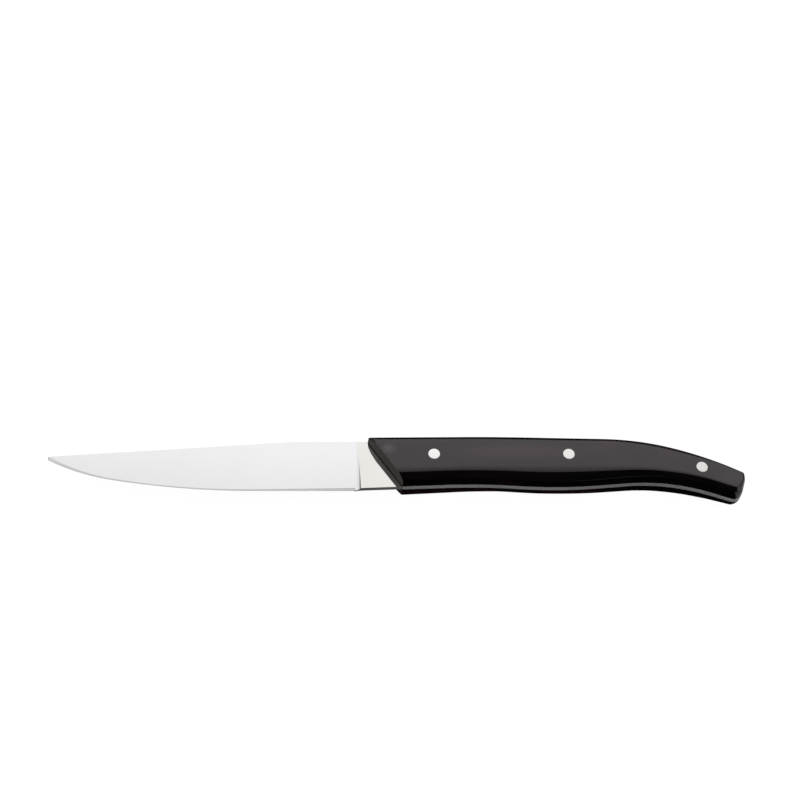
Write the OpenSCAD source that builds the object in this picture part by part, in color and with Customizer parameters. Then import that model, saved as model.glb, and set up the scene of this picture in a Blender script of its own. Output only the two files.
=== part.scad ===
// Table knife with a full tang. The steel lies between two handle scales, and three
// pins go through both scales and the steel. The knife lies flat on its lower scale.
// The middle line runs along the knife. It meets the slanted front of the handle at
// x = 0, the point of the blade is on its -X side and the spine is on its +Y side.

/* [Blade] */
// Length of the blade from its point to the front of the handle
blade_len = 114.05; // [100:0.05:130]
// Height of the level part of the spine over the middle line
spine_rise = 10.6; // [9.5:0.1:11]
// Length of the level part of the spine in front of the handle
spine_level_len = 31.7; // [25:0.1:50]
// Depth of the straight part of the cutting edge below the middle line
edge_drop = 7.8; // [7.5:0.1:9]
// Depth of the edge below the middle line where it sweeps up to the point
sweep_drop = 1.75; // [1:0.05:2.5]
// Height of the point's lower corner over the middle line
point_rise = 3.8; // [3:0.1:4.5]
// Height of the blunt end of the point
point_h = 1.2; // [1.1:0.05:2]
// Rounding of the two corners of the point
point_r = 0.5; // [0.3:0.05:0.5]

/* [Grinding] */
// Length of the heel from the front of the handle to the ground faces
heel_len = 11.2; // [10:0.1:15]
// Depth of the heel's lower edge below the middle line
heel_drop = 7.2; // [6.9:0.05:7.4]
// Thickness of the blade at its heel
heel_t = 1.9; // [1.6:0.05:2]
// Thickness of the ground blade at its edge, beside the heel
ground_heel_t = 0.6; // [0.4:0.02:0.8]
// Thickness of the ground blade at its point
ground_point_t = 0.7; // [0.5:0.02:0.9]
// Radius that the grinding wheel leaves where the ground faces begin
wheel_r = 3; // [1.5:0.1:5]
// Depth of the ground faces where they start, beside the heel at the spine
ground_start = 0.03; // [0.02:0.01:0.1]
// Thickness left at the cutting edge itself
edge_t = 0.06; // [0.04:0.01:0.1]
// Angle of each side of the cutting edge's bevel
bevel_angle = 17.5; // [14:0.5:24]

/* [Handle] */
// Length of the handle along the middle line
handle_len = 120.1; // [105:0.1:130]
// Thickness of the tang between the scales
tang_t = 2.1; // [2:0.05:3]
// Thickness of each scale
scale_t = 5.8; // [5:0.05:6.5]
// Height of the top of the grip over the middle line
grip_rise = 11; // [10.8:0.05:12]
// Depth of the hollow for the first finger below the middle line
hollow_drop = 5.7; // [5:0.05:6.2]
// Depth of the swell under the palm below the middle line
swell_drop = 7.45; // [7:0.05:8.5]
// Depth of the hollow for the last finger below the middle line
last_hollow_drop = 4.25; // [3.8:0.05:4.8]
// Height over the middle line of the corner where the back falls to the butt
back_rise = 9.05; // [8.8:0.05:10]
// Depth of the butt's upper corner below the middle line
butt_top_drop = 3.45; // [3:0.05:3.6]
// Depth below the middle line at which the end of the butt begins to slope forward
butt_end_drop = 5.9; // [5.8:0.1:7]
// Depth of the butt's lower corner below the middle line
butt_low_drop = 12.35; // [12:0.05:13.5]
// Slant of the handle's front, away from square across the knife
front_slant_angle = 34.4; // [25:0.2:38]
// Lean of the handle's front, back from upright on the blade
front_lean_angle = 3; // [0:0.5:6]
// Slope of each scale's outer face past the palm
palm_slope_angle = 0.9; // [0.5:0.1:1.3]
// Slope of each scale's outer face near the butt
butt_slope_angle = 1.7; // [1.4:0.1:2.5]

/* [Handle edges] */
// Width of the rounding along the top of each scale
top_round_w = 4.2; // [3:0.1:4.4]
// Depth of the rounding along the top of each scale
top_round_h = 4.2; // [3:0.1:4.4]
// Width of the rounding under the first finger
finger_round_w = 4.4; // [3:0.1:5.2]
// Depth of the rounding under the first finger
finger_round_h = 3.5; // [3:0.1:4.4]
// Width of the rounding on the swell under the palm
palm_round_w = 5.5; // [4:0.1:6]
// Depth of the rounding on the swell under the palm
palm_round_h = 3.85; // [3:0.05:4.4]
// Width and depth of the rounding along the rear of each scale
rear_round = 2.8; // [2:0.1:3]
// Width of the rounding along the end of the butt
butt_end_round_w = 1.1; // [0.8:0.1:1.2]
// Depth of the rounding along the end of the butt
butt_end_round_h = 3.4; // [2:0.1:4]
// Width of the rounding at the butt's lower corner
butt_low_round_w = 2.4; // [1.5:0.1:2.5]
// Depth of the rounding at the butt's lower corner
butt_low_round_h = 4.2; // [2:0.1:4.4]

/* [Pins] */
// Diameter of the handle's pins
pin_d = 3.9; // [3:0.1:4.5]
// Height of the first two pins over the middle line
pin_rise = 2.7; // [2:0.05:3]
// Depth of the last pin below the middle line
last_pin_drop = 1.95; // [1.5:0.05:2.3]
// Gap round each pin in its holes
pin_gap = 0.02; // [0.01:0.01:0.05]

/* [Hidden] */
$fn = 64;

// Greatest gap between a curve and the flats that stand for it
curve_gap = 0.02;
// Distance that a cutting shape runs past what it cuts
overrun = 1;
// Flats across the rounding of a scale's edge
round_steps = 8;
// Bends of the bevel in each curve of the edge
bevel_bends = 5;

// Places along the blade, as shares of its length
sweep_share = 0.905;
belly_share = 0.601;
// Places of the step up from the edge to the heel, as shares of the wheel's radius
step_shares = [0.1, 0.65];
// Places along the handle, as shares of its length
hollow_share = 0.257;
swell_share = 0.479;
last_hollow_share = 0.793;
butt_low_share = 0.983;
back_share = 0.795;
grip_share = 0.325;
pin_shares = [0.127, 0.505, 0.878];
slope_shares = [0.62, 0.82];

// Radii of the blade's outline
spine_r = 100;
sweep_r = 75;
belly_r = 275;
// Radii of the handle's outline
hollow_r = 217;
swell_r = 170;
last_hollow_r = 69;
butt_low_r = 3;
butt_end_r = 5;
butt_top_r = 1.5;
back_r = 101;
grip_r = 580;

tang_half = tang_t / 2;
heel_half = heel_t / 2;
handle_half = tang_half + scale_t;
pin_places = [
    [handle_len * pin_shares[0], pin_rise],
    [handle_len * pin_shares[1], pin_rise],
    [handle_len * pin_shares[2], -last_pin_drop]
];
// Places where the scales' outer faces begin to slope and to slope more steeply
slope_starts = handle_len * slope_shares;

// A corner is [x, y, radius, width and depth of the scale's edge rounding there].
// The outline runs along the edge to the butt and back along the spine.
edge_corners = [
    [-blade_len, point_rise, point_r, 0, 0],
    [-blade_len * sweep_share, -sweep_drop, sweep_r, 0, 0],
    [-blade_len * belly_share, -edge_drop, belly_r, 0, 0],
    [wheel_r * step_shares[0] - heel_len, -edge_drop, 0, 0, 0],
    [wheel_r * step_shares[1] - heel_len, -heel_drop, 0, 0, 0]
];
handle_corners = [
    [handle_len * hollow_share, -hollow_drop, hollow_r, finger_round_w, finger_round_h],
    [handle_len * swell_share, -swell_drop, swell_r, palm_round_w, palm_round_h],
    [handle_len * last_hollow_share, -last_hollow_drop, last_hollow_r, rear_round, rear_round],
    [handle_len * butt_low_share, -butt_low_drop, butt_low_r, butt_low_round_w, butt_low_round_h],
    [handle_len, -butt_end_drop, butt_end_r, butt_end_round_w, butt_end_round_h],
    [handle_len, -butt_top_drop, butt_top_r, butt_end_round_w, butt_end_round_h],
    [handle_len * back_share, back_rise, back_r, rear_round, rear_round],
    [handle_len * grip_share, grip_rise, grip_r, top_round_w, top_round_h]
];
spine_corners = [
    [-spine_rise * tan(front_slant_angle) - overrun, spine_rise, 0, 0, 0],
    [-spine_level_len, spine_rise, spine_r, 0, 0],
    [-blade_len, point_rise + point_h, point_r, 0, 0]
];
steel_corners = concat(edge_corners, handle_corners, spine_corners);
steel_points = rounded(steel_corners);

// The scales are shaped with a spare length in front, which the slanted cut takes off
grip_corner = handle_corners[len(handle_corners) - 1];
spare_x = spine_corners[0].x - 2 * top_round_w;
scale_corners = concat(
    [[spare_x, height_at(edge_corners[4], handle_corners[0], spare_x), 0, finger_round_w, finger_round_h]],
    handle_corners,
    [[spare_x, height_at(grip_corner, spine_corners[0], spare_x), 0, top_round_w, top_round_h]]
);
scale_points = rounded(scale_corners);

// Middle of the outline's box, which lies over the origin
outline_xs = [for (p = steel_points) p.x];
outline_ys = [for (p = steel_points) p.y];
outline_middle = [max(outline_xs) + min(outline_xs), max(outline_ys) + min(outline_ys)] / 2;

// Height of a scale's outer face over its bonded face
function face_height(x) =
    scale_t
    - max(0, min(x, slope_starts[1]) - slope_starts[0]) * tan(palm_slope_angle)
    - max(0, x - slope_starts[1]) * tan(butt_slope_angle);

function flat(v) = [v.x, v.y];
function unit(v) = v / norm(v);
function turned(v, angle) = [v.x * cos(angle) - v.y * sin(angle), v.x * sin(angle) + v.y * cos(angle)];

// Height at x of the straight line through two corners
function height_at(a, b, x) = a.y + (b.y - a.y) * (x - a.x) / (b.x - a.x);

// Centre, start and turn of the arc that rounds corner b between its neighbours
function corner_arc(a, b, c) =
    let (
        to_a = unit(flat(a) - flat(b)),
        to_c = unit(flat(c) - flat(b)),
        inner = acos(to_a * to_c),
        centre = flat(b) + unit(to_a + to_c) * b[2] / sin(inner / 2)
    )
    [
        centre,
        flat(b) + to_a * b[2] / tan(inner / 2) - centre,
        (180 - inner) * sign(cross(flat(b) - flat(a), flat(c) - flat(b)))
    ];

// Points along that arc, an odd number of flats apart, or the corner itself
function corner_points(a, b, c) =
    b[2] == 0 ? [[b.x, b.y, b[3], b[4]]] :
    let (
        arc = corner_arc(a, b, c),
        flats = abs(arc[2]) / (2 * acos(1 - curve_gap / b[2])),
        steps = 2 * ceil((flats - 1) / 2) + 1
    )
    [
        for (i = [0:steps])
            let (p = arc[0] + turned(arc[1], arc[2] * i / steps))
            [p.x, p.y, b[3], b[4]]
    ];

// Bends of straight lines that touch that arc from outside
function outer_bends(a, b, c) =
    let (arc = corner_arc(a, b, c), step = arc[2] / bevel_bends)
    [for (i = [0:bevel_bends - 1]) arc[0] + turned(arc[1], step * (i + 0.5)) / cos(step / 2)];

function rounded(corners) =
    let (n = len(corners))
    [for (i = [0:n - 1]) each corner_points(corners[(i + n - 1) % n], corners[i], corners[(i + 1) % n])];

// Direction into the outline at point i
function inward(points, i) =
    let (n = len(points), along = flat(points[(i + 1) % n]) - flat(points[(i + n - 1) % n]))
    unit([-along.y, along.x]);

// Body whose sides stand upright and then round inwards below the outer face, by each
// point's own width and depth. Its last flat runs on past that face, which is cut later.
module rounded_body(points) {
    n = len(points);
    arc = [for (k = [0:round_steps - 1]) 90 * k / round_steps];
    past = 2 - sin(arc[round_steps - 1]);
    foot = [for (p = points) [p.x, p.y, -overrun]];
    sides = [
        for (angle = arc) for (i = [0:n - 1])
            let (p = flat(points[i]) + inward(points, i) * points[i][2] * (1 - cos(angle)))
            [p.x, p.y, face_height(p.x) - points[i][3] * (1 - sin(angle))]
    ];
    tops = [
        for (i = [0:n - 1])
            let (p = flat(points[i]) + inward(points, i) * points[i][2] * (1 + cos(arc[round_steps - 1])))
            [p.x, p.y, face_height(p.x) + points[i][3] * (past - 1)]
    ];
    last = [for (p = tops) [p.x, p.y, scale_t + overrun]];
    rings = round_steps + 3;
    polyhedron(
        points = concat(foot, sides, tops, last),
        faces = concat(
            [[for (i = [0:n - 1]) i]],
            [
                for (k = [0:rings - 2]) for (i = [0:n - 1])
                    let (j = (i + 1) % n)
                    [k * n + i, (k + 1) * n + i, (k + 1) * n + j, k * n + j]
            ],
            [[for (i = [n - 1:-1:0]) (rings - 1) * n + i]]
        ),
        convexity = 6
    );
}

// Everything over the two sloping parts of a scale's outer face
module over_slopes() {
    for (i = [0, 1])
        translate([slope_starts[i], 0, face_height(slope_starts[i])])
            rotate([0, [palm_slope_angle, butt_slope_angle][i], 0])
                translate([-handle_len, -handle_len / 2, 0])
                    cube([2 * handle_len, handle_len, scale_t]);
}

// Everything in front of the handle's slanted front, from its foot up
module front_space(lean_angle) {
    reach = blade_len + handle_len;
    rotate([0, 0, front_slant_angle])
        rotate([0, lean_angle, 0])
            translate([-reach, -reach / 2, -overrun])
                cube([reach, reach, handle_half + 2 * overrun]);
}

module pin_holes() {
    for (place = pin_places)
        translate([place.x, place.y, 0])
            cylinder(r = pin_d / 2 + pin_gap, h = 2 * (handle_half + overrun), center = true);
}

// One scale, standing on its bonded face
module handle_scale() {
    reach = blade_len + handle_len;
    difference() {
        intersection() {
            translate([-reach, -reach / 2, 0])
                cube([2 * reach, reach, scale_t]);
            rounded_body(scale_points);
        }
        over_slopes();
        front_space(front_lean_angle);
        pin_holes();
    }
}

// What the wheel takes off one side of the blade: a flat that falls towards the edge
// and towards the point, and that ends at the heel in the wheel's own radius
module ground_face() {
    fall_to_edge = (heel_half - ground_start - ground_heel_t / 2) / (spine_rise + edge_drop);
    point_height = point_rise + point_h / 2 + edge_drop;
    fall_to_point = (ground_heel_t / 2 + fall_to_edge * point_height - ground_point_t / 2) / (blade_len - heel_len);
    translate([-heel_len, -edge_drop, ground_heel_t / 2])
        rotate([atan(fall_to_edge), -atan(fall_to_point), 0])
            rotate([90, 0, 0])
                linear_extrude(height = 4 * (spine_rise + edge_drop), center = true)
                    union() {
                        translate([-blade_len, 0])
                            square([blade_len, 2 * wheel_r]);
                        translate([0, wheel_r])
                            circle(r = wheel_r);
                    }
}

// What sharpening takes off one side, as three-sided bars along the edge
module edge_bevel() {
    reach = ground_heel_t / tan(bevel_angle);
    tip = flat(edge_corners[0]);
    away = unit(tip - flat(edge_corners[1]));
    line = concat(
        [tip + away * overrun],
        outer_bends(edge_corners[0], edge_corners[1], edge_corners[2]),
        outer_bends(edge_corners[1], edge_corners[2], edge_corners[3]),
        [[wheel_r * step_shares[0] / 2 - heel_len - overrun, -edge_drop]]
    );
    for (i = [0:len(line) - 2]) {
        along = line[i + 1] - line[i];
        translate([line[i].x, line[i].y, edge_t / 2])
            rotate([0, 0, atan2(along.y, along.x)])
                rotate([90, 0, 90])
                    translate([0, 0, -overrun])
                        linear_extrude(height = norm(along) + 2 * overrun)
                            polygon([
                                [-overrun, -overrun * tan(bevel_angle)],
                                [reach, reach * tan(bevel_angle)],
                                [-overrun, reach * tan(bevel_angle)]
                            ]);
    }
}

// Thins the blade in front of the handle, on one side
module heel_thinning() {
    translate([0, 0, heel_half + overrun])
        front_space(0);
}

module steel() {
    difference() {
        linear_extrude(height = tang_t, center = true)
            polygon([for (p = steel_points) flat(p)]);
        for (side = [0, 1])
            mirror([0, 0, side]) {
                heel_thinning();
                ground_face();
                edge_bevel();
            }
        pin_holes();
    }
}

module pin(place) {
    translate([place.x, place.y, 0])
        cylinder(r = pin_d / 2, h = 2 * handle_half, center = true);
}

// Moves a piece from the middle line to its place over the origin
module laid_flat() {
    translate([-outline_middle.x, -outline_middle.y, handle_half])
        children();
}

module blade_and_tang() {
    color([0.86, 0.86, 0.85])
        laid_flat()
            steel();
}

module upper_scale() {
    color([0.09, 0.08, 0.08])
        laid_flat()
            translate([0, 0, tang_half])
                handle_scale();
}

module lower_scale() {
    color([0.09, 0.08, 0.08])
        laid_flat()
            mirror([0, 0, 1])
                translate([0, 0, tang_half])
                    handle_scale();
}

module front_pin() {
    color([0.93, 0.93, 0.92])
        laid_flat()
            pin(pin_places[0]);
}

module middle_pin() {
    color([0.93, 0.93, 0.92])
        laid_flat()
            pin(pin_places[1]);
}

module rear_pin() {
    color([0.93, 0.93, 0.92])
        laid_flat()
            difference() {
                pin(pin_places[2]);
                for (side = [0, 1])
                    mirror([0, 0, side])
                        translate([0, 0, tang_half])
                            over_slopes();
            }
}

blade_and_tang();
lower_scale();
upper_scale();
front_pin();
middle_pin();
rear_pin();
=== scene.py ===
from math import acos, atan2, ceil, cos, degrees, hypot, pi, radians, sin, sqrt, tan
import bmesh
import bpy
from mathutils import Matrix, Vector
from mathutils.geometry import delaunay_2d_cdt


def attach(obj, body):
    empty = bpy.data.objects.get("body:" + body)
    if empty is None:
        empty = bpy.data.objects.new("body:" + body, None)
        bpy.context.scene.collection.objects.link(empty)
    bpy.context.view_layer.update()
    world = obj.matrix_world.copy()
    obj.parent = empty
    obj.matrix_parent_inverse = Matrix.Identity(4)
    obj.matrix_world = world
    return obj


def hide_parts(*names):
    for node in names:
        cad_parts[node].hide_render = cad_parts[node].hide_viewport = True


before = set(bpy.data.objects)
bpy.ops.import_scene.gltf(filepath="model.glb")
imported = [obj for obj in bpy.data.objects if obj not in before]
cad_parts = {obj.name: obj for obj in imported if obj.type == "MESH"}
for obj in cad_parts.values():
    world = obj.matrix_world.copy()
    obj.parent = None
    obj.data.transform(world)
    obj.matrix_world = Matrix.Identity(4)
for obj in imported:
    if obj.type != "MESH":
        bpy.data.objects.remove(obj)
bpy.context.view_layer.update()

# BLADE AND TANG
# One piece of stainless steel: the blade, its heel and the full tang that shows as a bright
# line all round the handle. It is cut from sheet, hollowed a little on both sides by the
# wheel up to the heel, sharpened along the edge and polished.

mm = 0.001
middle_line = Vector((-3.025, 0.28, 6.85))   # where x' = 0, y' = 0 and the steel's middle lie
blade_len = 114.05
handle_len = 120.1
front_slant = radians(34.4)
slant = tan(front_slant)
spine_rise = 10.6
spine_level_len = 31.7
edge_drop = 7.8
heel_drop = 7.2
heel_len = 11.05
heel_half = 0.95
tang_half = 1.05
wheel_r = 3.0
ground_start = 0.03
ground_heel_half = 0.3
ground_point_half = 0.35
point_low, point_top = 3.8, 5.0
point_r = 0.5
edge_half = 0.03
bevel = tan(radians(17.5))
finger_round = (4.4, 3.5)
palm_round = (5.5, 3.85)
rear_round = (2.8, 2.8)
butt_low_round = (2.5, 4.4)
butt_end_round = (1.1, 3.4)
top_round = 4.2

# The ground faces thin towards the edge and, less, towards the point
fall_to_edge = (heel_half - ground_start - ground_heel_half) / (spine_rise + edge_drop)
point_middle = (point_low + point_top) / 2
fall_to_point = ((ground_heel_half + fall_to_edge * (point_middle + edge_drop) - ground_point_half)
                 / (blade_len - heel_len))

# A corner is (x, y, radius, width and depth of the scale's edge rounding there)
edge_corners = [
    (-blade_len, point_low, point_r, 0, 0),
    (-blade_len * 0.905, -1.75, 75, 0, 0),
    (-blade_len * 0.601, -edge_drop, 275, 0, 0),
    (wheel_r * 0.1 - heel_len, -edge_drop, 0, 0, 0),
    (wheel_r * 0.65 - heel_len, -heel_drop, 0, 0, 0),
]
handle_corners = [
    (handle_len * 0.257, -5.7, 217, *finger_round),
    (handle_len * 0.479, -7.45, 170, *palm_round),
    (handle_len * 0.793, -4.25, 69, *rear_round),
    (handle_len * 0.983, -12.35, 3, *butt_low_round),
    (handle_len, -5.9, 5, *butt_end_round),
    (handle_len, -3.45, 1.5, *butt_end_round),
    (handle_len * 0.795, 9.05, 101, *rear_round),
    (handle_len * 0.325, 11.0, 580, top_round, top_round),
]
spine_corners = [
    (-spine_rise * slant - 1, spine_rise, 0, 0, 0),
    (-spine_level_len, spine_rise, 100, 0, 0),
    (-blade_len, point_top, point_r, 0, 0),
]


def corner_arc(a, b, c, step_len=1.0, step_turn=5.0):
    """Points of the arc that rounds corner b between its neighbours, or b itself."""
    if b[2] == 0:
        return [tuple(b[:2])]
    pa, pb, pc = (Vector(p[:2]) for p in (a, b, c))
    to_a, to_c = (pa - pb).normalized(), (pc - pb).normalized()
    inner = acos(max(-1, min(1, to_a.dot(to_c))))
    centre = pb + (to_a + to_c).normalized() * b[2] / sin(inner / 2)
    start = pb + to_a * b[2] / tan(inner / 2) - centre
    turn = pi - inner
    if (pb - pa).cross(pc - pb) < 0:
        turn = -turn
    steps = ceil(max(abs(turn) * b[2] / step_len, degrees(abs(turn)) / step_turn, 2))
    points = []
    for i in range(steps + 1):
        p = centre + Matrix.Rotation(turn * i / steps, 2) @ start
        points.append((p.x, p.y))
    return points


def path_length(points):
    return sum(hypot(b[0] - a[0], b[1] - a[1]) for a, b in zip(points, points[1:]))


def rounded_outline(corners, gap=1.25):
    """The closed outline with its corners rounded, as (x, y, rounding's width, its depth)."""
    n = len(corners)
    arcs = [corner_arc(corners[i - 1], corners[i], corners[(i + 1) % n]) for i in range(n)]
    points, middles = [], []
    for i, arc in enumerate(arcs):
        middles.append(len(points) + len(arc) // 2)
        points += arc
        (x0, y0), (x1, y1) = arc[-1], arcs[(i + 1) % n][0]
        steps = ceil(hypot(x1 - x0, y1 - y0) / gap)
        points += [(x0 + (x1 - x0) * k / steps, y0 + (y1 - y0) * k / steps)
                   for k in range(1, steps)]
    outline = []
    for i, (x, y) in enumerate(points):
        k = max([c for c in range(n) if middles[c] <= i], default=0)
        here, after = corners[k], corners[min(k + 1, n - 1)]
        gone = path_length(points[middles[k]:i + 1])
        ahead = path_length(points[i:middles[min(k + 1, n - 1)] + 1])
        t = gone / (gone + ahead) if ahead else 0.0
        soft = t * t * (3 - 2 * t)
        width, depth = (here[c] + (after[c] - here[c]) * soft for c in (3, 4))
        outline.append((x, y, width, depth))
    return outline


def height_on(chain, x):
    """Height at x of a chain of points whose x only grows."""
    for (x0, y0), (x1, y1) in zip(chain, chain[1:]):
        if x0 <= x <= x1:
            return y0 + (y1 - y0) * (x - x0) / max(x1 - x0, 1e-9)
    return chain[0][1] if x < chain[0][0] else chain[-1][1]


steel_outline = [p[:2] for p in rounded_outline(edge_corners + handle_corners + spine_corners)]
butt_index = max(range(len(steel_outline)), key=lambda i: steel_outline[i][0])
low_chain = steel_outline[:butt_index + 1]
high_chain = steel_outline[butt_index:][::-1]


def ground_height(x, y):
    """Half the blade's thickness where the wheel has ground it, as a flat."""
    away = max(0.0, -heel_len - x)
    return ground_heel_half + fall_to_edge * (y + edge_drop) - fall_to_point * away


def plunge_reach(y):
    """How far past the flat the wheel's own radius runs before it leaves the heel."""
    rise = heel_half - ground_height(-heel_len, y)
    return sqrt(wheel_r ** 2 - (wheel_r - rise) ** 2)


# Columns of points across the blade, from its point to the slanted front of the handle. They
# stand at an even gap, and closer where the point is rounded and just before the heel.
rows = 16
first_column = 0.45
column_gap = 1.2
heel_columns = (1.0, 0.7, 0.45, 0.3)
heel_columns_from = 1.5
least_gap = 0.02
slope_step = 0.3
bevel_end = -heel_len - 0.15
bevel_fade = 0.5
columns = []
point_arcs = (corner_arc(spine_corners[2], edge_corners[0], edge_corners[1])
              + corner_arc(spine_corners[1], spine_corners[2], edge_corners[0]))
blade_xs = sorted({round(p[0], 4) for p in point_arcs})
even_xs = [-blade_len + first_column + column_gap * i for i in range(ceil(blade_len / column_gap))]
blade_xs += [x for x in even_xs if x < -heel_len - heel_columns_from]
blade_xs += [-heel_len - before for before in heel_columns] + [bevel_end, -heel_len]
last_x = None
for x in blade_xs:
    if last_x is not None and x - last_x < least_gap:
        continue
    last_x = x
    low, high = height_on(low_chain, x), height_on(high_chain, x)
    slope = (height_on(low_chain, x + slope_step) - height_on(low_chain, x)) / slope_step
    steep = cos(atan2(slope, 1)) * bevel
    sharp = max(0.0, min(1.0, (bevel_end - x) / bevel_fade))
    shoulder = (ground_height(x, low) - edge_half) / (steep - fall_to_edge)
    shoulder = min(shoulder, 0.5 * (high - low))
    column = []
    for j in range(rows + 1):
        y = low if j == 0 else low + shoulder + (high - low - shoulder) * (j - 1) / (rows - 1)
        flat = ground_height(x, y)
        half = min(flat, edge_half + (y - low) * steep)
        column.append((x, y, half * sharp + flat * (1 - sharp)))
    columns.append(column)
plunge_start = len(columns) - 1
shoulder_y = columns[-1][1][1]
plunge_steps = 14
for i in range(1, plunge_steps + 1):
    share = i / plunge_steps
    low = height_on(low_chain, -heel_len + share * plunge_reach(-edge_drop))
    column = []
    for j in range(rows + 1):
        y = low if j == 0 else shoulder_y + (spine_rise - shoulder_y) * (j - 1) / (rows - 1)
        run = share * plunge_reach(y)
        half = ground_height(-heel_len, y) + wheel_r - sqrt(wheel_r ** 2 - run ** 2)
        column.append((-heel_len + run, y, min(half, heel_half)))
    columns.append(column)
plunge_end = len(columns) - 1

# The tang's step hides just behind the handle's front
tuck = 0.3


def front_crossing(chain):
    """Where a chain of the outline meets the tang's step."""
    for (x0, y0), (x1, y1) in zip(chain, chain[1:]):
        a, b = x0 + slant * y0 - tuck, x1 + slant * y1 - tuck
        if a <= 0 < b:
            t = a / (a - b)
            return x0 + (x1 - x0) * t, y0 + (y1 - y0) * t


front_low, front_high = front_crossing(low_chain), front_crossing(high_chain)
fan_steps = 8
for i in range(1, fan_steps + 1):
    t = i / fan_steps
    column = []
    for j in range(rows + 1):
        x0, y0, _ = columns[plunge_end][j]
        f = (y0 - columns[plunge_end][0][1]) / (spine_rise - columns[plunge_end][0][1])
        x1 = front_low[0] + (front_high[0] - front_low[0]) * f
        y1 = front_low[1] + (front_high[1] - front_low[1]) * f
        x, y = x0 + (x1 - x0) * t, y0 + (y1 - y0) * t
        if j == 0:
            y = height_on(low_chain, x)
        if j == rows:
            y = height_on(high_chain, x)
        column.append((x, y, heel_half))
    columns.append(column)

past_step = 0.05
tang_loop = ([front_low] + [p for p in low_chain if p[0] > front_low[0] + past_step]
             + [p for p in reversed(high_chain) if p[0] > front_high[0] + past_step][1:]
             + [front_high])

# The steel's mesh, each face with the number of its finish
steel_points, steel_faces, steel_slots = [], [], []
GROUND, HEEL, DULL_SHADED, SPINE, EDGE, STRIP_SHADED = range(6)
bevel_shown_to = -heel_len - 0.6


def steel_point(x, y, z):
    steel_points.append((Vector((x, y, z)) + middle_line) * mm)
    return len(steel_points) - 1


def steel_face(corners, finish):
    steel_faces.append(corners)
    steel_slots.append(finish)


top = [[steel_point(x, y, z) for x, y, z in column] for column in columns]
under = [[steel_point(x, y, -z) for x, y, z in column] for column in columns]
for k in range(len(columns) - 1):
    finish = GROUND if k < plunge_end else HEEL
    for j in range(rows):
        face = finish
        if j == 0 and k < plunge_start + 2:
            face = EDGE if columns[k + 1][0][0] < bevel_shown_to else SPINE
        steel_face([top[k][j], top[k + 1][j], top[k + 1][j + 1], top[k][j + 1]], face)
        steel_face([under[k][j], under[k][j + 1], under[k + 1][j + 1], under[k + 1][j]], face)
    wall = GROUND if k < plunge_start else DULL_SHADED
    steel_face([under[k][0], under[k + 1][0], top[k + 1][0], top[k][0]], wall)
    steel_face([top[k][rows], top[k + 1][rows], under[k + 1][rows], under[k][rows]], SPINE)
for j in range(rows):
    steel_face([under[0][j], top[0][j], top[0][j + 1], under[0][j + 1]], GROUND)

front = columns[-1]
loop_top = [steel_point(x, y, tang_half) for x, y in tang_loop]
loop_under = [steel_point(x, y, -tang_half) for x, y in tang_loop]
step_top = [steel_point(x, y, tang_half) for x, y, _ in front[1:-1]]
step_under = [steel_point(x, y, -tang_half) for x, y, _ in front[1:-1]]
rise_top = [loop_top[0]] + step_top + [loop_top[-1]]
rise_under = [loop_under[0]] + step_under + [loop_under[-1]]
steel_face(loop_top + rise_top[-2:0:-1], HEEL)
steel_face(rise_under[1:-1] + loop_under[::-1], HEEL)
last = len(tang_loop) - 1
# The tang's edge all round the handle takes the strip steel, painted darker as shade
for i in range(last):
    wall = [loop_under[i], loop_under[i + 1], loop_top[i + 1], loop_top[i]]
    if i == 0:
        wall += [top[-1][0], under[-1][0]]
    if i == last - 1:
        wall[2:2] = [under[-1][rows], top[-1][rows]]
    steel_face(wall, STRIP_SHADED)
# The faces of the tang's step take the dull steel, whose dark colour is painted shade
for j in range(rows):
    steel_face([top[-1][j], rise_top[j], rise_top[j + 1], top[-1][j + 1]], DULL_SHADED)
    steel_face([rise_under[j], under[-1][j], under[-1][j + 1], rise_under[j + 1]], DULL_SHADED)

steel_mesh = bpy.data.meshes.new("blade_steel")
steel_mesh.from_pydata(steel_points, [], steel_faces)
for face, finish in zip(steel_mesh.polygons, steel_slots):
    face.material_index = finish
    face.use_smooth = True
steel_mesh.set_sharp_from_angle(angle=radians(8))


def new_object(name, data):
    made = bpy.data.objects.new(name, data)
    bpy.context.scene.collection.objects.link(made)
    return made


blade_steel = new_object("blade_steel", steel_mesh)


def new_material(name):
    """A new material and its node tree, its Principled shader, and Object coordinates."""
    material = bpy.data.materials.new(name)
    material.use_nodes = True
    tree = material.node_tree
    shader = tree.nodes["Principled BSDF"]
    place = tree.nodes.new("ShaderNodeTexCoord")
    return material, tree, shader, place.outputs["Object"]


def grain(tree, place, scale, detail, rough=0.55):
    """Noise whose size is set along each axis, as cells per metre."""
    mapping = tree.nodes.new("ShaderNodeMapping")
    mapping.inputs["Scale"].default_value = scale
    noise = tree.nodes.new("ShaderNodeTexNoise")
    noise.inputs["Scale"].default_value = 1.0
    noise.inputs["Detail"].default_value = detail
    noise.inputs["Roughness"].default_value = rough
    tree.links.new(place, mapping.inputs["Vector"])
    tree.links.new(mapping.outputs["Vector"], noise.inputs["Vector"])
    return noise.outputs["Fac"]


def spread(tree, value, low, high, start=0.3, end=0.7):
    """The value from start to end, carried over to low to high."""
    ramp = tree.nodes.new("ShaderNodeMapRange")
    ramp.inputs["From Min"].default_value = start
    ramp.inputs["From Max"].default_value = end
    ramp.inputs["To Min"].default_value = low
    ramp.inputs["To Max"].default_value = high
    tree.links.new(value, ramp.inputs["Value"])
    return ramp.outputs["Result"]


def along(tree, place, direction):
    """Distance along a direction, from the origin."""
    node = tree.nodes.new("ShaderNodeVectorMath")
    node.operation = "DOT_PRODUCT"
    node.inputs[1].default_value = direction
    tree.links.new(place, node.inputs[0])
    return node.outputs["Value"]


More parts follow.
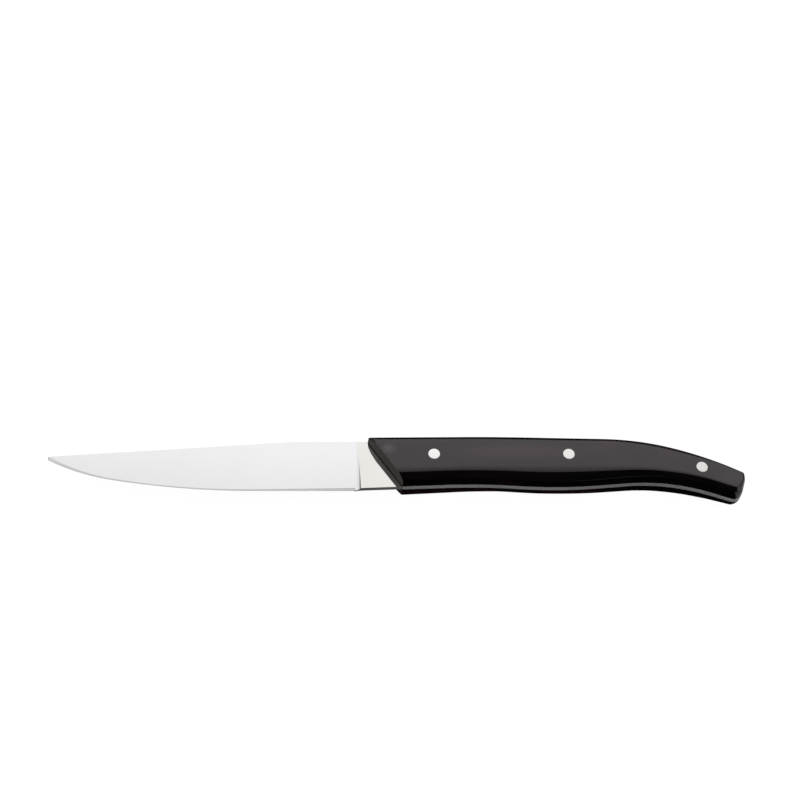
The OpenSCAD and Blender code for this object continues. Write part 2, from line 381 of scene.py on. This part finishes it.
def maths(tree, operation, first, second=0.0):
    """The result of one operation on values that are numbers or other nodes' outputs."""
    node = tree.nodes.new("ShaderNodeMath")
    node.operation = operation
    for socket, value in zip(node.inputs, (first, second)):
        if isinstance(value, float):
            socket.default_value = value
        else:
            tree.links.new(value, socket)
    return node.outputs[0]


def blend_colours(tree, share, first, second):
    """The first colour, or another node's, to the second, by a share from 0 to 1."""
    mix = tree.nodes.new("ShaderNodeMix")
    mix.data_type = "RGBA"
    if isinstance(first, bpy.types.NodeSocket):
        tree.links.new(first, mix.inputs["A"])
    else:
        mix.inputs["A"].default_value = (*first, 1)
    mix.inputs["B"].default_value = (*second, 1)
    tree.links.new(share, mix.inputs["Factor"])
    return mix.outputs["Result"]


def bump(tree, shader, value, height, strength):
    """Raises the surface by the value, up to height."""
    node = tree.nodes.new("ShaderNodeBump")
    node.inputs["Strength"].default_value = strength
    node.inputs["Distance"].default_value = height
    tree.links.new(value, node.inputs["Height"])
    tree.links.new(node.outputs["Normal"], shader.inputs["Normal"])


def steel_finish(name, dark, light, lines, smooth, rough, height, painted_gradient=None):
    """Steel with fine polishing lines: its colours, the lines' scale and its roughness. Its
    colour can also shift in a direction, from one distance along it to another: painted light and
    shade."""
    material, tree, shader, place = new_material(name)
    shader.inputs["Metallic"].default_value = 1.0
    streaks = grain(tree, place, lines, detail=5.0)
    clouds = grain(tree, place, (60, 60, 60), detail=2.0)
    share = spread(tree, clouds, 0, 1)
    if painted_gradient:
        direction, start, end = painted_gradient
        painted_rise = spread(tree, along(tree, place, direction), 0, 1, start, end)
        share = maths(tree, "ADD", spread(tree, clouds, -0.12, 0.12), painted_rise)
    tree.links.new(blend_colours(tree, share, dark, light), shader.inputs["Base Color"])
    tree.links.new(spread(tree, streaks, smooth, rough), shader.inputs["Roughness"])
    bump(tree, shader, streaks, height, 0.4)
    return material


# The finishes, in the order of their numbers, with the height of their lines in metres
for finish in (
        # Painted light: the ground steel is painted lighter towards the spine and the heel
        ("ground_steel", (0.528, 0.524, 0.523), (0.575, 0.576, 0.578),
         (2600, 45, 300), 0.13, 0.21, 0.000004, ((0.14, 0.99, 0.0), -0.0185, 0.0035)),
        ("polished_heel", (0.515, 0.500, 0.482), (0.540, 0.527, 0.512),
         (60, 1900, 300), 0.03, 0.06, 0.0000008),
        # Painted shade: the heel's lower edge and the tang's step are rough and dull, and also
        # painted far darker than steel
        ("dull_shaded_steel_edge", (0.170, 0.162, 0.155), (0.225, 0.215, 0.207),
         (900, 900, 5200), 0.40, 0.55, 0.000004),
        ("spine_steel", (0.46, 0.46, 0.455), (0.52, 0.52, 0.515),
         (3000, 3000, 300), 0.20, 0.30, 0.000004),
        ("sharpened_steel", (0.68, 0.675, 0.67), (0.76, 0.755, 0.75),
         (4200, 90, 300), 0.16, 0.26, 0.000003),
        # Painted shade: the tang's edge round the handle is rough, and also painted darker than
        # steel
        ("shaded_tang_strip_steel", (0.290, 0.288, 0.283), (0.375, 0.372, 0.366),
         (700, 700, 5200), 0.38, 0.50, 0.000004)):
    steel_mesh.materials.append(steel_finish(*finish))
for finish in (DULL_SHADED, STRIP_SHADED):
    dull_shaded_shader = steel_mesh.materials[finish].node_tree.nodes["Principled BSDF"]
    dull_shaded_shader.inputs["Metallic"].default_value = 0.25

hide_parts("blade_and_tang")
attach(blade_steel, "root")

# HANDLE SCALES
# Two scales of nearly black wood, one on each side of the tang, glued and pinned to it. They
# are shaped together with the steel, rounded along the top, the belly and the butt, thinned
# a little towards the butt, and polished until they shine.

scale_t = 5.8
thin_from = handle_len * 0.55
thin_r = 1430.0
round_steps = 22
face_point_gap = 3.0
front_lean = radians(3)
unturned_front = Vector((cos(front_lean), 0, -sin(front_lean)))
front_facing = Matrix.Rotation(front_slant, 3, "Z") @ unturned_front
front_corner_r = 0.5
corner_facets = 4
pin_d = 3.9
pin_gap = 0.02
pin_sides = 64
pin_y, rear_pin_y = 2.7, -1.95
pin_places = [
    (handle_len * 0.127, pin_y),
    (handle_len * 0.505, pin_y),
    (handle_len * 0.878, rear_pin_y),
]
tiny = 1e-6
same_point = 1e-7

# Along its belly the lower scale is rounded a little wider or deeper than the upper one: at
# each x, by how much in width and in depth. At the butt this fades out as the outline turns up.
under_changes = (
    (4, 0, -1.3), (20, 0, -0.6), (30, 0.1, 0.3), (37, 0.2, 0.9), (51, 0, 0.3),
    (71, 0, -0.3), (88, 0, 0), (105, 0, -0.6), (115, 0.45, 0.6), (119, 0.45, 0.6))
butt_from_x = 112
butt_fade_from_y = 7
butt_fade = 3

# The scales are made with some length to spare, which the slant of the front cuts away
spare_x = spine_corners[0][0] - 8.0


def line_height(a, b, x):
    return a[1] + (b[1] - a[1]) * (x - a[0]) / (b[0] - a[0])


def face_height(x):
    """Height of a scale's outer face over its bonded face."""
    return scale_t - max(0.0, x - thin_from) ** 2 / (2 * thin_r)


spare_low = line_height(edge_corners[-1], handle_corners[0], spare_x)
spare_high = line_height(handle_corners[-1], spine_corners[0], spare_x)
scale_outline = rounded_outline(
    [(spare_x, spare_low, 0, *finger_round)] + handle_corners
    + [(spare_x, spare_high, 0, top_round, top_round)])
while abs(scale_outline[-2][0] - spare_x) < tiny:
    scale_outline.pop()


def inset(outline, i, distance):
    """Point i of the outline, moved in by a distance."""
    ahead, behind = outline[min(i + 1, len(outline) - 1)], outline[max(i - 1, 0)]
    heading = Vector((ahead[0] - behind[0], ahead[1] - behind[1])).normalized()
    return outline[i][0] - heading.y * distance, outline[i][1] + heading.x * distance


def inside(point, polygon):
    x, y = point
    found = False
    for (x0, y0), (x1, y1) in zip(polygon, polygon[1:] + polygon[:1]):
        if (y0 > y) != (y1 > y) and x < x0 + (x1 - x0) * (y - y0) / (y1 - y0):
            found = not found
    return found


def near(point, loop, distance):
    return any(hypot(point[0] - x, point[1] - y) < distance for x, y in loop)


def pin_circle(place, radius):
    turns = [2 * pi * i / pin_sides for i in range(pin_sides)]
    return [(place[0] + radius * cos(turn), place[1] + radius * sin(turn)) for turn in turns]


def inner_points(flat_loops, gap):
    """Even points inside the first loop, away from its rim and from the holes."""
    outer, *holes = flat_loops
    xs, ys = [p[0] for p in outer], [p[1] for p in outer]
    found = []
    x = min(xs)
    while x < max(xs):
        y = min(ys)
        while y < max(ys):
            point = (x, y)
            free = inside(point, outer) and not any(inside(point, hole) for hole in holes)
            if free and not any(near(point, loop, gap * 0.6) for loop in flat_loops):
                found.append(point)
            y += gap
        x += gap
    return found


def filled(bm, loops, height, flip=False, gap=None):
    """Fills the first loop of vertices, leaving the other loops open, with inner points."""
    flat_loops = [[(v.co.x, v.co.y) for v in loop] for loop in loops]
    outer = flat_loops[0]
    extra = inner_points(flat_loops, gap) if gap else []
    points, edges = [], []
    for loop in flat_loops:
        base = len(points)
        points += loop
        edges += [(base + i, base + (i + 1) % len(loop)) for i in range(len(loop))]
    known = [v for loop in loops for v in loop]
    known += [bm.verts.new((x, y, height(x))) for x, y in extra]
    points += extra
    places = [Vector(p) for p in points]
    _, _, tris, origins, _, _ = delaunay_2d_cdt(places, edges, [], 0, same_point)
    for tri in tris:
        corners = [known[origins[i][0]] for i in tri]
        centre = sum(v.co.x for v in corners) / 3, sum(v.co.y for v in corners) / 3
        if not inside(centre, outer) or any(inside(centre, hole) for hole in flat_loops[1:]):
            continue
        bm.faces.new(corners[::-1] if flip else corners)


def under_change(x, y):
    """How much wider and deeper the lower scale is rounded than the upper one."""
    if y > 0:
        return 0.0, 0.0
    share = 1.0
    if x >= butt_from_x:
        share = max(0.0, min(1.0, (-y - butt_fade_from_y) / butt_fade))
    for (x0, w0, d0), (x1, w1, d1) in zip(under_changes, under_changes[1:]):
        if x <= x1:
            t = max(0.0, (x - x0) / (x1 - x0))
            return share * (w0 + (w1 - w0) * t), share * (d0 + (d1 - d0) * t)
    return share * w1, share * d1


def cut_away(bm, on_plane, outward):
    """Cuts away what lies outside a plane, and closes the cut with a face of end grain."""
    bmesh.ops.bisect_plane(
        bm, geom=bm.verts[:] + bm.edges[:] + bm.faces[:], dist=tiny,
        plane_co=on_plane, plane_no=outward, clear_outer=True)
    rim = [e for e in bm.edges if len(e.link_faces) == 1]
    faces = bmesh.ops.edgeloop_fill(bm, edges=rim)["faces"]
    for face in faces:
        face.material_index = 1
    return faces


def round_front_corner(bm):
    """Rounds the edge between front and top side, by planes that touch the rounding."""
    for turn in (0, 30, 60):
        outward = Vector((0, cos(radians(turn)), sin(radians(turn))))
        y = spine_rise - top_round * (1 - outward.y)
        z = scale_t - top_round * (1 - outward.z)
        x = z * tan(front_lean) / cos(front_slant) - y * slant
        facing_share = outward.dot(front_facing)
        centre = Vector((x, y, z)) - (outward - front_facing) * front_corner_r / (1 - facing_share)
        between = acos(-facing_share)
        for facet in range(1, corner_facets + 1):
            t = facet / (corner_facets + 1)
            normal = outward * sin(between * t) - front_facing * sin(between * (1 - t))
            normal /= sin(between)
            for face in cut_away(bm, centre + normal * front_corner_r, normal):
                face.smooth = True


def make_scale(name, upper):
    """One scale, closed: its sides, rounding, outer face, bonded face and pin holes."""
    bm = bmesh.new()
    n = len(scale_outline)
    rings = [[bm.verts.new((p[0], p[1], 0.0)) for p in scale_outline]]
    for k in range(round_steps + 1):
        angle = pi / 2 * k / round_steps
        ring = []
        for i, (at_x, at_y, width, depth) in enumerate(scale_outline):
            if not upper:
                wider, deeper = under_change(at_x, at_y)
                width, depth = width + wider, depth + deeper
            x, y = inset(scale_outline, i, width * (1 - cos(angle)))
            ring.append(bm.verts.new((x, y, face_height(x) - depth * (1 - sin(angle)))))
        rings.append(ring)
    for low_ring, high_ring in zip(rings, rings[1:]):
        for i in range(n):
            j = (i + 1) % n
            bm.faces.new((low_ring[i], low_ring[j], high_ring[j], high_ring[i]))
    holes_low, holes_high = [], []
    for place in pin_places:
        circle = pin_circle(place, pin_d / 2 + pin_gap)
        low_hole = [bm.verts.new((x, y, 0.0)) for x, y in circle]
        high_hole = [bm.verts.new((x, y, face_height(x))) for x, y in circle]
        for i in range(len(circle)):
            j = (i + 1) % len(circle)
            bm.faces.new((low_hole[j], low_hole[i], high_hole[i], high_hole[j]))
        holes_low.append(low_hole)
        holes_high.append(high_hole)
    filled(bm, [rings[0]] + holes_low, lambda x: 0.0, flip=True)
    filled(bm, [rings[-1]] + holes_high, face_height, gap=face_point_gap)

    wall = cut_away(bm, (0, 0, 0), -front_facing)
    for face in bm.faces:
        face.smooth = True
    for face in wall:
        face.smooth = False
    round_front_corner(bm)
    bmesh.ops.recalc_face_normals(bm, faces=bm.faces[:])
    for v in bm.verts:
        z = v.co.z + tang_half
        v.co = (Vector((v.co.x, v.co.y, z if upper else -z)) + middle_line) * mm
    if not upper:
        bmesh.ops.reverse_faces(bm, faces=bm.faces[:])
    mesh = bpy.data.meshes.new(name)
    bm.to_mesh(mesh)
    bm.free()
    mesh.set_sharp_from_angle(angle=radians(28))
    return new_object(name, mesh)


def wood_finish(name, black, brown, red, smooth, rough, ior):
    """Dark wood: its grain runs along the handle, with a few warmer patches."""
    material, tree, shader, place = new_material(name)
    fibres = grain(tree, place, (55, 1500, 1500), detail=6.0, rough=0.6)
    bands = grain(tree, place, (18, 240, 240), detail=3.0)
    patches = grain(tree, place, (48, 95, 95), detail=1.5)
    wood = blend_colours(tree, spread(tree, bands, 0, 1, 0.35, 0.75), black, brown)
    warm = blend_colours(tree, spread(tree, patches, 0, 1, 0.56, 0.74), wood, red)
    tree.links.new(warm, shader.inputs["Base Color"])
    tree.links.new(spread(tree, fibres, smooth, rough), shader.inputs["Roughness"])
    shader.inputs["IOR"].default_value = ior
    bump(tree, shader, fibres, 0.000006, 0.35)
    return material


polished_wood = wood_finish(
    "polished_black_wood", (0.0005, 0.0002, 0.0002), (0.0038, 0.0022, 0.0024),
    (0.0150, 0.0050, 0.0085), 0.035, 0.065, 1.49)
polished_shader = polished_wood.node_tree.nodes["Principled BSDF"]
polished_shader.inputs["Specular Tint"].default_value = (1.0, 0.945, 0.955, 1)


def object_place(tree):
    """The Object coordinates that the tree already has."""
    return next(n for n in tree.nodes if n.type == "TEX_COORD").outputs["Object"]


def vector_length(tree, place):
    node = tree.nodes.new("ShaderNodeVectorMath")
    node.operation = "LENGTH"
    tree.links.new(place, node.inputs[0])
    return node.outputs["Value"]


def blend_over(tree, share, colour):
    """Lays a colour over the base colour that the material has so far."""
    base = tree.nodes["Principled BSDF"].inputs["Base Color"]
    tree.links.new(blend_colours(tree, share, base.links[0].from_socket, colour), base)


def hazed(material, centre, stretch, colour, start, end):
    """A paler spot about a centre in metres, fading from one distance to another. It serves for a
    painted highlight and for the wood's warmer tints.
    """
    tree = material.node_tree
    place = tree.nodes.new("ShaderNodeMapping")
    place.inputs["Location"].default_value = [-c * k for c, k in zip(centre, stretch)]
    place.inputs["Scale"].default_value = stretch
    tree.links.new(object_place(tree), place.inputs["Vector"])
    away = vector_length(tree, place.outputs["Vector"])
    blend_over(tree, spread(tree, away, 1.0, 0.0, start, end), colour)


# A painted highlight lies on the polish just behind the front, in place of the light that the
# curving face there catches. The wood is a little redder in the grip and near the butt.
for spot in (
        ((-0.0030, 0.0050, 0.0137), (1.0, 1.2, 1.0), (0.046, 0.045, 0.045), 0.0005, 0.0030),
        ((0.0400, 0.0040, 0.0137), (0.17, 1.2, 1.0), (0.0310, 0.0160, 0.0235), 0.0006, 0.0052),
        ((0.1115, -0.0062, 0.0127), (0.6, 1.0, 1.0), (0.0180, 0.0075, 0.0115), 0.0002, 0.0030)):
    hazed(polished_wood, *spot)


def xyz(tree, place):
    node = tree.nodes.new("ShaderNodeSeparateXYZ")
    tree.links.new(place, node.inputs[0])
    return node.outputs


end_wood = wood_finish(
    "end_grain_black_wood", (0.0260, 0.0195, 0.0150), (0.0390, 0.0295, 0.0230),
    (0.0470, 0.0355, 0.0275), 0.35, 0.5, 1.2)

# Painted contact shadow: the end grain is painted darker, and made rougher, along the foot of the
# front, where it meets the steel
contact_shade_from, contact_shade_to = (tang_half + 0.25) * mm, (tang_half + 0.6) * mm
foot_tree = end_wood.node_tree
foot_height = xyz(foot_tree, object_place(foot_tree))["Z"]
over_middle = maths(foot_tree, "SUBTRACT", foot_height, middle_line.z * mm)
from_middle = maths(foot_tree, "ABSOLUTE", over_middle)
contact_shaded = spread(foot_tree, from_middle, 1.0, 0.0, contact_shade_from, contact_shade_to)
blend_over(foot_tree, contact_shaded, (0.0012, 0.0010, 0.0010))
end_shader = foot_tree.nodes["Principled BSDF"]
foot_tree.links.new(spread(foot_tree, contact_shaded, 0.42, 0.9, 0.0, 1.0), end_shader.inputs["Roughness"])

for name, upper in (("upper_handle_scale", True), ("lower_handle_scale", False)):
    scale = make_scale(name, upper)
    scale.data.materials.append(polished_wood)
    scale.data.materials.append(end_wood)
    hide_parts("upper_scale" if upper else "lower_scale")
    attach(scale, "root")

# HANDLE PINS
# Three round steel pins go through both scales and the tang. Their ends are ground flush
# with the wood and polished, with the sharp rim just broken.

pin_tree = bpy.data.node_groups.new("handle_pins", "GeometryNodeTree")
pin_values = {}
for label, kind, value in (
        ("Pin radius", "Float", pin_d / 2 * mm),
        ("Pin length", "Float", 2 * (tang_half + scale_t) * mm),
        ("Broken rim", "Float", 0.03 * mm),
        ("Dome", "Float", 0.04 * mm),
        ("Thinning starts", "Float", thin_from * mm),
        ("Thinning diameter", "Float", 2 * thin_r * mm),
        ("Front pin", "Vector", Vector((*pin_places[0], 0)) * mm),
        ("Middle pin", "Vector", Vector((*pin_places[1], 0)) * mm),
        ("Rear pin", "Vector", Vector((*pin_places[2], 0)) * mm),
        ("Middle line", "Vector", middle_line * mm),
        ("Finish", "Material", None)):
    socket = pin_tree.interface.new_socket(label, in_out="INPUT", socket_type="NodeSocket" + kind)
    pin_values[socket.identifier] = value
finish_socket = socket.identifier
pin_tree.interface.new_socket("Geometry", in_out="OUTPUT", socket_type="NodeSocketGeometry")
size_of = pin_tree.nodes.new("NodeGroupInput").outputs


def pin_node(kind, values=None, **settings):
    """A node of the pins' tree, its inputs given as plain values or other nodes' outputs."""
    node = pin_tree.nodes.new(kind)
    for key, setting in settings.items():
        setattr(node, key, setting)
    for name, value in (values or {}).items():
        if isinstance(value, bpy.types.NodeSocket):
            pin_tree.links.new(value, node.inputs[name])
        else:
            node.inputs[name].default_value = value
    return node


def pin_math(operation, first, second=0.0):
    return maths(pin_tree, operation, first, second)


def lowered(shape, drop, height):
    """The shape with both its ends pulled towards the middle by a drop."""
    down = pin_math("MULTIPLY", pin_math("SIGN", height), pin_math("MULTIPLY", drop, -1.0))
    offset = pin_node("ShaderNodeCombineXYZ", {"Z": down}).outputs[0]
    return pin_node("GeometryNodeSetPosition", {"Geometry": shape, "Offset": offset}).outputs[0]


# One rod, each end a slight dome inside a broken rim
rim_start = 0.97
spot_xyz = xyz(pin_tree, pin_node("GeometryNodeInputPosition").outputs[0])
x_squared, y_squared = (pin_math("POWER", spot_xyz[axis], 2.0) for axis in "XY")
sideways = pin_math("SQRT", pin_math("ADD", x_squared, y_squared))
from_axis = pin_math("DIVIDE", sideways, size_of["Pin radius"])
rod = pin_node("GeometryNodeMeshCylinder", {
    "Vertices": pin_sides, "Side Segments": 1, "Fill Segments": 16,
    "Radius": size_of["Pin radius"], "Depth": size_of["Pin length"]})
crown = pin_math("MULTIPLY", pin_math("POWER", from_axis, 2.0), size_of["Dome"])
rim = pin_math("MULTIPLY", pin_math("GREATER_THAN", from_axis, rim_start), size_of["Broken rim"])
pin_shape = lowered(rod.outputs["Mesh"], pin_math("ADD", crown, rim), spot_xyz["Z"])

# A rod at each of the three places, its ends brought down to the sloping face
which = pin_node("GeometryNodeInputIndex").outputs[0]
choice = pin_node("GeometryNodeIndexSwitch", data_type="VECTOR")
choice.index_switch_items.new()
pin_tree.links.new(which, choice.inputs["Index"])
for number, label in enumerate(("Front pin", "Middle pin", "Rear pin")):
    pin_tree.links.new(size_of[label], choice.inputs[str(number)])
spots = pin_node("GeometryNodePoints", {"Count": 3, "Position": choice.outputs[0]})
copies = pin_node("GeometryNodeInstanceOnPoints", {
    "Points": spots.outputs[0], "Instance": pin_shape})
real_pins = pin_node("GeometryNodeRealizeInstances", {0: copies.outputs[0]}).outputs[0]
past = pin_math("MAXIMUM", pin_math("SUBTRACT", spot_xyz["X"], size_of["Thinning starts"]), 0.0)
thinning = pin_math("DIVIDE", pin_math("POWER", past, 2.0), size_of["Thinning diameter"])
flush = lowered(real_pins, thinning, spot_xyz["Z"])
placed = pin_node("GeometryNodeTransform", {
    "Geometry": flush, "Translation": size_of["Middle line"]})
shiny = pin_node("GeometryNodeSetMaterial", {
    "Geometry": placed.outputs[0], "Material": size_of["Finish"]})
pin_node("NodeGroupOutput", {0: shiny.outputs[0]})

# Painted light and shade: the pins' steel is painted lighter at the front pin and darker towards
# the rear pin
pin_values[finish_socket] = steel_finish(
    "polished_pin_steel", (0.579, 0.558, 0.556), (0.482, 0.467, 0.454),
    (700, 700, 700), 0.14, 0.22, 0.000003,
    ((1.0, 0.0, 0.0), pin_places[0][0] * mm, pin_places[2][0] * mm))
pin_maker = new_object("pin_maker", bpy.data.meshes.new("pin_maker"))
pin_modifier = pin_maker.modifiers.new("pins", "NODES")
pin_modifier.node_group = pin_tree
for identifier, value in pin_values.items():
    pin_modifier[identifier] = value
bpy.context.view_layer.update()
ready = pin_maker.evaluated_get(bpy.context.evaluated_depsgraph_get())
pin_mesh = bpy.data.meshes.new_from_object(ready)
bpy.data.objects.remove(pin_maker)
pin_mesh.name = "pin_steel"
for face in pin_mesh.polygons:
    face.use_smooth = True
pin_mesh.set_sharp_from_angle(angle=radians(30))
pins = new_object("handle_pins", pin_mesh)
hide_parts("front_pin", "middle_pin", "rear_pin")
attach(pins, "root")

# TABLE AND LIGHT
# A pale sheet lies under the knife. The light is one wide soft panel overhead, which ends
# in a straight edge above the knife's front, with dim space in front of it.

sheet_r = 0.8
sheet_z = -0.0001
card_z = -0.00005


def round_sheet(name, height):
    """A level round sheet at a height in metres."""
    mesh = bpy.data.meshes.new(name)
    bm = bmesh.new()
    bmesh.ops.create_circle(bm, cap_ends=True, segments=96, radius=sheet_r)
    bmesh.ops.translate(bm, verts=bm.verts, vec=(0, 0, height))
    bm.to_mesh(mesh)
    bm.free()
    return new_object(name, mesh)


table = round_sheet("table", sheet_z)


def blend_shaders(tree, share, first, second):
    """The first shader where the share is 0 and the second where it is 1."""
    mix = tree.nodes.new("ShaderNodeMixShader")
    if isinstance(share, float):
        mix.inputs[0].default_value = share
    else:
        tree.links.new(share, mix.inputs[0])
    tree.links.new(first, mix.inputs[1])
    tree.links.new(second, mix.inputs[2])
    return mix.outputs[0]


def seen_directly(tree):
    """1 for what the camera sees, straight or in metal or glass."""
    path = tree.nodes.new("ShaderNodeLightPath").outputs
    share = path["Is Camera Ray"]
    for ray in ("Is Glossy Ray", "Is Transmission Ray"):
        share = maths(tree, "MAXIMUM", share, path[ray])
    return share


# The sheet is plain white to look at, lights the knife as pale paper does and fades far out
sheet, sheet_tree, unused_shader, sheet_place = new_material("pale_sheet")
sheet_tree.nodes.remove(unused_shader)
lit = sheet_tree.nodes.new("ShaderNodeBsdfDiffuse")
lit.inputs["Color"].default_value = (0.9, 0.9, 0.9, 1)
white = sheet_tree.nodes.new("ShaderNodeEmission")
white.inputs["Color"].default_value = (1, 1, 1, 1)
white.inputs["Strength"].default_value = 1.06
clear = sheet_tree.nodes.new("ShaderNodeBsdfTransparent")
pale = blend_shaders(sheet_tree, 0.08, white.outputs[0], lit.outputs[0])
shown = blend_shaders(sheet_tree, seen_directly(sheet_tree), lit.outputs[0], pale)
fade = spread(sheet_tree, vector_length(sheet_tree, sheet_place), 0.0, 1.0, 0.4, 0.7)
faded = blend_shaders(sheet_tree, fade, shown, clear.outputs[0])
sheet_tree.links.new(faded, sheet_tree.nodes["Material Output"].inputs["Surface"])
table.data.materials.append(sheet)

# Only reflections see the dark card: a painted dark reflection in the knife, which grows pale past
# the butt as a painted pale reflection there
dark_card = round_sheet("dark_card", card_z)
dark_card.visible_camera = False
dark_card.visible_diffuse = False
dark_card.visible_transmission = False
dark_card.visible_shadow = False
card_finish, card_tree, card_shader, card_place = new_material("dark_card")
card_shader.inputs["Roughness"].default_value = 0.9
card_shader.inputs["Specular IOR Level"].default_value = 0.0
card_xyz = xyz(card_tree, card_place)
past_butt = spread(card_tree, card_xyz["X"], 0.0, 1.0, 0.1160, 0.1210)
before_back = spread(card_tree, card_xyz["Y"], 1.0, 0.0, 0.004, 0.012)
lit_corner = maths(card_tree, "MULTIPLY", past_butt, before_back)
card_colour = blend_colours(card_tree, lit_corner, (0.012, 0.012, 0.012), (0.9, 0.9, 0.9))
card_tree.links.new(card_colour, card_shader.inputs["Base Color"])
dark_card.data.materials.append(card_finish)

# The panel's light by the direction that it comes from
world = bpy.data.worlds.new("soft_panel")
bpy.context.scene.world = world
world.use_nodes = True
sky = world.node_tree
panel = sky.nodes["Background"]
panel_level = 1.6
panel.inputs["Strength"].default_value = panel_level
sky_way = sky.nodes.new("ShaderNodeTexCoord").outputs["Generated"]
toward = xyz(sky, sky_way)

# Its level by the angle in degrees from overhead towards the back, with an edge at -12
leaning = maths(sky, "ARCTAN2", toward["Y"], toward["Z"])
strip = sky.nodes.new("ShaderNodeValToRGB")
sky.links.new(spread(sky, leaning, 0.0, 1.0, radians(-90), radians(90)), strip.inputs[0])
stops = ((-90, 0.03), (-12.4, 0.03), (-11.6, 0.70), (24, 1.52), (32, 1.62), (45, 1.60), (90, 1.0))
while len(strip.color_ramp.elements) < len(stops):
    strip.color_ramp.elements.new(0.5)
for stop, (angle, level) in zip(strip.color_ramp.elements, stops):
    stop.position = (angle + 90) / 180
    stop.color = (*[level / panel_level] * 3, 1)


def toward_level(share, level, colour):
    """The colour where the share is 0, and a plain level of light where it is 1."""
    return blend_colours(sky, share, colour, [level / panel_level] * 3)


# It weakens a little to the left, and ends far to the left
softened = toward_level(spread(sky, toward["X"], 0.13, 0.0, -0.36, -0.22), 0.0, strip.outputs[0])
narrowed = toward_level(spread(sky, toward["X"], 1.0, 0.0, -0.84, -0.58), 0.12, softened)

# Low behind there is a pale wall, and behind to the right it is dim
low_down = spread(sky, toward["Z"], 1.0, 0.0, sin(radians(8)), sin(radians(16)))
behind = spread(sky, toward["Y"], 0.0, 1.0, -0.1, 0.3)
backed = toward_level(maths(sky, "MULTIPLY", low_down, behind), 1.0, narrowed)
rightward = along(sky, sky_way, (1.0, 0.0, -0.6))
far_right = spread(sky, rightward, 0.0, 1.0, -0.04, 0.12)
dimmed = toward_level(maths(sky, "MULTIPLY", behind, far_right), 0.15, backed)

# In front, light fills in from both sides
to_side = spread(sky, maths(sky, "ABSOLUTE", toward["X"]), 0.0, 1.0, 0.42, 0.62)
in_front = spread(sky, toward["Y"], 1.0, 0.0, -0.25, -0.05)
filled_in = toward_level(maths(sky, "MULTIPLY", to_side, in_front), 1.15, dimmed)
sky.links.new(filled_in, panel.inputs["Color"])

# The camera itself sees plain white past the sheet
backdrop = sky.nodes.new("ShaderNodeBackground")
backdrop.inputs["Color"].default_value = (1, 1, 1, 1)
camera_ray = sky.nodes.new("ShaderNodeLightPath").outputs["Is Camera Ray"]
seen = blend_shaders(sky, camera_ray, panel.outputs[0], backdrop.outputs[0])
sky.links.new(seen, sky.nodes["World Output"].inputs["Surface"])

# The camera, fitted to the pins and the outline in the photo
camera_stand = Vector((-18.811, -251.062, 454.0))
camera_aim = Vector((4.571, 27.917, 0))
camera_roll = radians(4.2294)
camera = new_object("camera", bpy.data.cameras.new("camera"))
camera.location = (camera_stand + middle_line) * mm
looking = (camera_aim + middle_line) * mm - camera.location
turned = looking.to_track_quat("-Z", "Y").to_matrix() @ Matrix.Rotation(camera_roll, 3, "Z")
camera.rotation_euler = turned.to_euler()
camera.data.sensor_width = 36
camera.data.lens = 69.185
bpy.context.scene.camera = camera
bpy.context.scene.view_settings.view_transform = "Standard"
